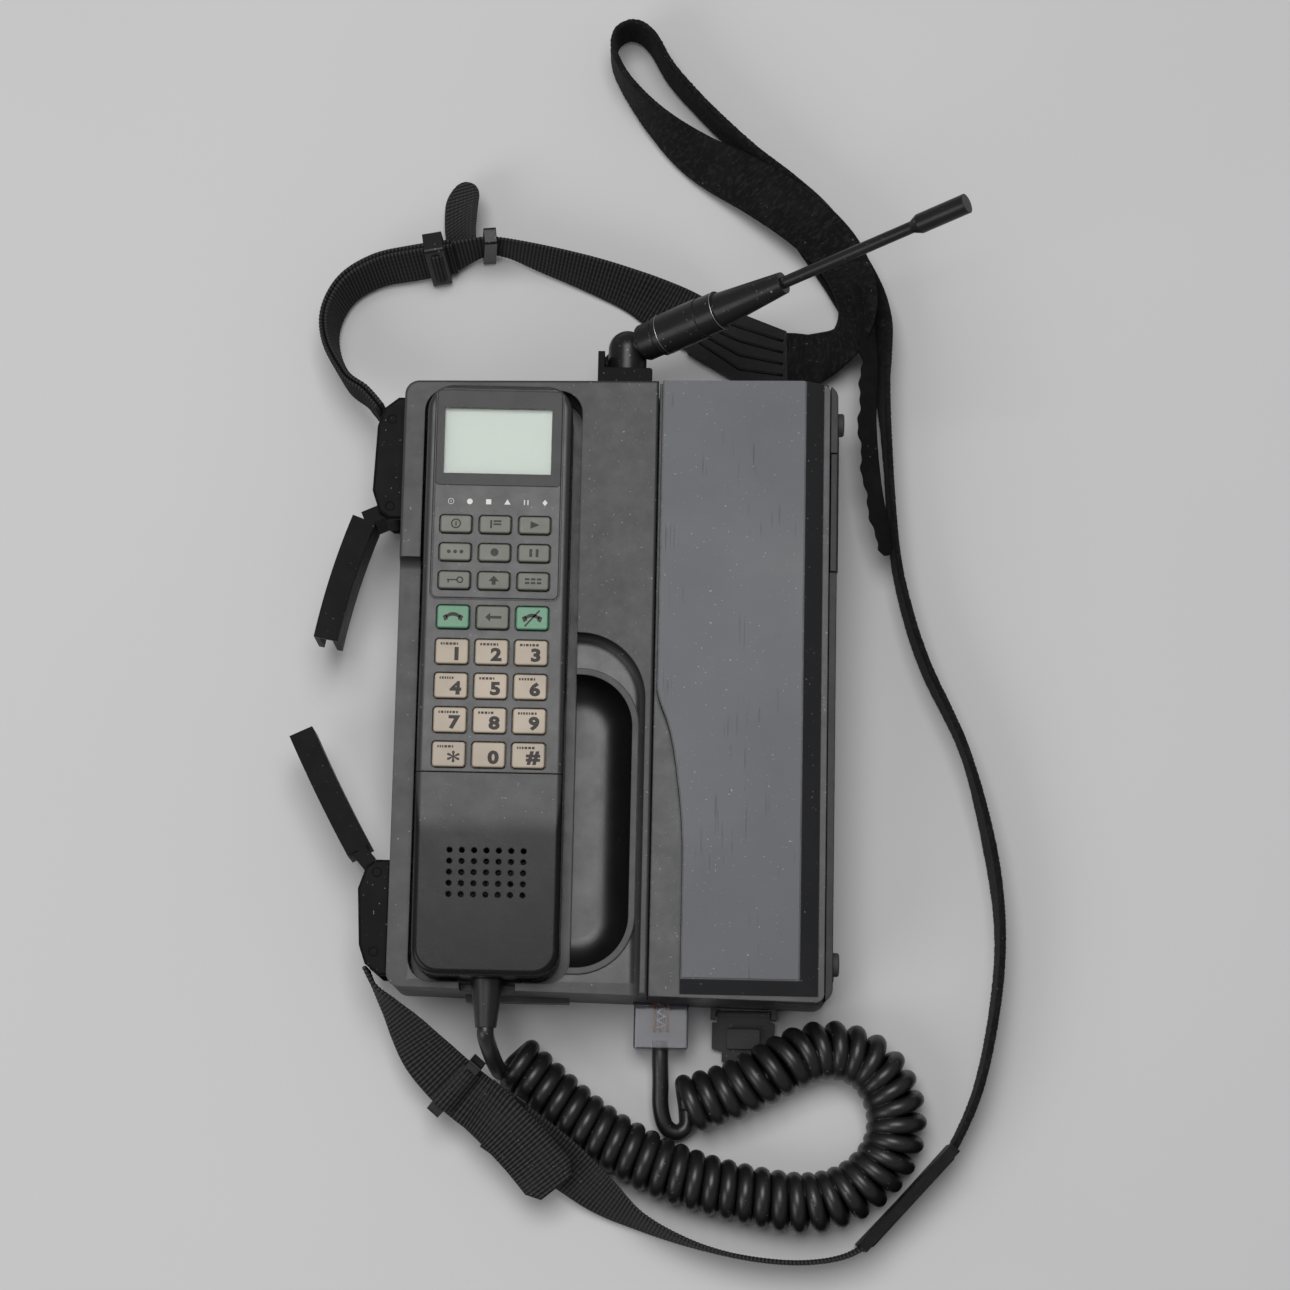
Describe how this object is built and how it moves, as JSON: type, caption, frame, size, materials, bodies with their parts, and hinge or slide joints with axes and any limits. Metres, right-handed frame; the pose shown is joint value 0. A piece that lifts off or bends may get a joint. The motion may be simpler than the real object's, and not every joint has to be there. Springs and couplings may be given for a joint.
{
  "type": "transportable telephone",
  "caption": "Flat transportable telephone: handset with keypad in a cradle, clip-in battery, swivel antenna, coiled cord, shoulder strap and folding handle stubs.",
  "frame": {"origin": "middle of the flat back of the case", "axes": "+X towards the battery side, +Y towards the antenna end, +Z out of the front"},
  "size_m": [0.2512, 0.4489, 0.1135],
  "materials": {
    "case_plastic": "fine matte grain, charcoal",
    "battery_plastic": "satin blue-black",
    "label_plate": "satin slate grey with scratches",
    "handset_plastic": "satin near-black",
    "window": "smoked clear",
    "lcd": "pale mint display",
    "board": "green circuit board",
    "radio_can": "folded screening can",
    "cell": "sleeved rechargeable cell",
    "key_dial": "cream rubber-like key",
    "key_function": "grey-olive key",
    "key_action": "green key",
    "antenna_plastic": "satin black",
    "antenna_metal": "black plated metal",
    "pin_steel": "steel",
    "foot_rubber": "black rubber",
    "cord_rubber": "glossy black",
    "plug_clear": "clear plastic",
    "webbing": "ribbed nylon webbing",
    "felt": "napped band",
    "leather": "ribbed leather tab"
  },
  "bodies": {
    "case": {"rear_case": "case_plastic", "front_case": "case_plastic", "main_board": "board", "transceiver_module": "radio_can", "lug_upper": "case_plastic", "lug_lower": "case_plastic", "lug_pins": "pin_steel", "antenna_bracket": "case_plastic", "side_feet": "foot_rubber", "cord_plug": "plug_clear", "coiled_cord": "cord_rubber", "strap_web_upper": "webbing", "strap_web_lower": "webbing", "strap_pad": "felt", "strap_tabs": "leather", "strap_buckles": "antenna_plastic"},
    "handset": {"handset_rear": "handset_plastic", "handset_front": "handset_plastic", "mouthpiece_cover": "handset_plastic", "display_window": "window", "lcd_panel": "lcd", "handset_board": "board", "earpiece": "handset_plastic", "cord_boot": "cord_rubber"},
    "battery": {"battery_case": "battery_plastic", "battery_cover": "battery_plastic", "battery_label": "label_plate", "battery_cells": "cell"},
    "latch": {"battery_latch": "case_plastic"},
    "cover": {"port_cover": "foot_rubber"},
    "aerial": {"antenna_elbow": "antenna_metal", "antenna_barrel": "antenna_plastic", "antenna_whip": "antenna_plastic"},
    "nut": {"antenna_nut": "antenna_metal"},
    "arm_upper": {"handle_arm_upper": "case_plastic"},
    "arm_lower": {"handle_arm_lower": "case_plastic"},
    "key_function_1": {"key_function_1": "key_function"},
    "key_function_2": {"key_function_2": "key_function"},
    "key_function_3": {"key_function_3": "key_function"},
    "key_function_4": {"key_function_4": "key_function"},
    "key_function_5": {"key_function_5": "key_function"},
    "key_function_6": {"key_function_6": "key_function"},
    "key_function_7": {"key_function_7": "key_function"},
    "key_function_8": {"key_function_8": "key_function"},
    "key_function_9": {"key_function_9": "key_function"},
    "key_call": {"key_call": "key_action"},
    "key_clear": {"key_clear": "key_function"},
    "key_end": {"key_end": "key_action"},
    "key_1": {"key_1": "key_dial"},
    "key_2": {"key_2": "key_dial"},
    "key_3": {"key_3": "key_dial"},
    "key_4": {"key_4": "key_dial"},
    "key_5": {"key_5": "key_dial"},
    "key_6": {"key_6": "key_dial"},
    "key_7": {"key_7": "key_dial"},
    "key_8": {"key_8": "key_dial"},
    "key_9": {"key_9": "key_dial"},
    "key_star": {"key_star": "key_dial"},
    "key_0": {"key_0": "key_dial"},
    "key_hash": {"key_hash": "key_dial"}
  },
  "joints": [
    {"name": "handset_lift", "type": "slide", "parent": "case", "child": "handset", "axis": [0, 0, 1], "range_m": [0, 0.06], "deforming": ["coiled_cord"]},
    {"name": "battery_lift", "type": "slide", "parent": "case", "child": "battery", "axis": [0, 0, 1], "range_m": [0, 0.06]},
    {"name": "latch_swing", "type": "hinge", "parent": "case", "child": "latch", "pos_m": [0.0749, 0.0624, 0.0296], "axis": [0, 1, 0], "range_deg": [0, 12]},
    {"name": "port_cover_swing", "type": "hinge", "parent": "case", "child": "cover", "pos_m": [0.0472, -0.1102, 0.0046], "axis": [-1, 0, 0], "range_deg": [0, 98]},
    {"name": "antenna_swing", "type": "hinge", "parent": "case", "child": "aerial", "pos_m": [0.0015, 0.122, 0.036], "axis": [0, 1, 0], "range_deg": [-46, 33]},
    {"name": "nut_turn", "type": "hinge", "parent": "aerial", "child": "nut", "pos_m": [0.0015, 0.122, 0.036], "axis": [0.8118, 0.2319, 0.5359], "continuous": true},
    {"name": "handle_upper_swing", "type": "hinge", "parent": "case", "child": "arm_upper", "pos_m": [-0.0808, 0.063, 0.025], "axis": [0, 0, 1], "range_deg": [-50, 14]},
    {"name": "handle_lower_swing", "type": "hinge", "parent": "case", "child": "arm_lower", "pos_m": [-0.0808, -0.0662, 0.025], "axis": [0, 0, 1], "range_deg": [-14, 50]},
    {"name": "key_function_1_press", "type": "slide", "parent": "handset", "child": "key_function_1", "axis": [0, 0, -1], "range_m": [0, 0.0008]},
    {"name": "key_function_2_press", "type": "slide", "parent": "handset", "child": "key_function_2", "axis": [0, 0, -1], "range_m": [0, 0.0008]},
    {"name": "key_function_3_press", "type": "slide", "parent": "handset", "child": "key_function_3", "axis": [0, 0, -1], "range_m": [0, 0.0008]},
    {"name": "key_function_4_press", "type": "slide", "parent": "handset", "child": "key_function_4", "axis": [0, 0, -1], "range_m": [0, 0.0008]},
    {"name": "key_function_5_press", "type": "slide", "parent": "handset", "child": "key_function_5", "axis": [0, 0, -1], "range_m": [0, 0.0008]},
    {"name": "key_function_6_press", "type": "slide", "parent": "handset", "child": "key_function_6", "axis": [0, 0, -1], "range_m": [0, 0.0008]},
    {"name": "key_function_7_press", "type": "slide", "parent": "handset", "child": "key_function_7", "axis": [0, 0, -1], "range_m": [0, 0.0008]},
    {"name": "key_function_8_press", "type": "slide", "parent": "handset", "child": "key_function_8", "axis": [0, 0, -1], "range_m": [0, 0.0008]},
    {"name": "key_function_9_press", "type": "slide", "parent": "handset", "child": "key_function_9", "axis": [0, 0, -1], "range_m": [0, 0.0008]},
    {"name": "key_call_press", "type": "slide", "parent": "handset", "child": "key_call", "axis": [0, 0, -1], "range_m": [0, 0.0008]},
    {"name": "key_clear_press", "type": "slide", "parent": "handset", "child": "key_clear", "axis": [0, 0, -1], "range_m": [0, 0.0008]},
    {"name": "key_end_press", "type": "slide", "parent": "handset", "child": "key_end", "axis": [0, 0, -1], "range_m": [0, 0.0008]},
    {"name": "key_1_press", "type": "slide", "parent": "handset", "child": "key_1", "axis": [0, 0, -1], "range_m": [0, 0.0008]},
    {"name": "key_2_press", "type": "slide", "parent": "handset", "child": "key_2", "axis": [0, 0, -1], "range_m": [0, 0.0008]},
    {"name": "key_3_press", "type": "slide", "parent": "handset", "child": "key_3", "axis": [0, 0, -1], "range_m": [0, 0.0008]},
    {"name": "key_4_press", "type": "slide", "parent": "handset", "child": "key_4", "axis": [0, 0, -1], "range_m": [0, 0.0008]},
    {"name": "key_5_press", "type": "slide", "parent": "handset", "child": "key_5", "axis": [0, 0, -1], "range_m": [0, 0.0008]},
    {"name": "key_6_press", "type": "slide", "parent": "handset", "child": "key_6", "axis": [0, 0, -1], "range_m": [0, 0.0008]},
    {"name": "key_7_press", "type": "slide", "parent": "handset", "child": "key_7", "axis": [0, 0, -1], "range_m": [0, 0.0008]},
    {"name": "key_8_press", "type": "slide", "parent": "handset", "child": "key_8", "axis": [0, 0, -1], "range_m": [0, 0.0008]},
    {"name": "key_9_press", "type": "slide", "parent": "handset", "child": "key_9", "axis": [0, 0, -1], "range_m": [0, 0.0008]},
    {"name": "key_star_press", "type": "slide", "parent": "handset", "child": "key_star", "axis": [0, 0, -1], "range_m": [0, 0.0008]},
    {"name": "key_0_press", "type": "slide", "parent": "handset", "child": "key_0", "axis": [0, 0, -1], "range_m": [0, 0.0008]},
    {"name": "key_hash_press", "type": "slide", "parent": "handset", "child": "key_hash", "axis": [0, 0, -1], "range_m": [0, 0.0008]}
  ]
}
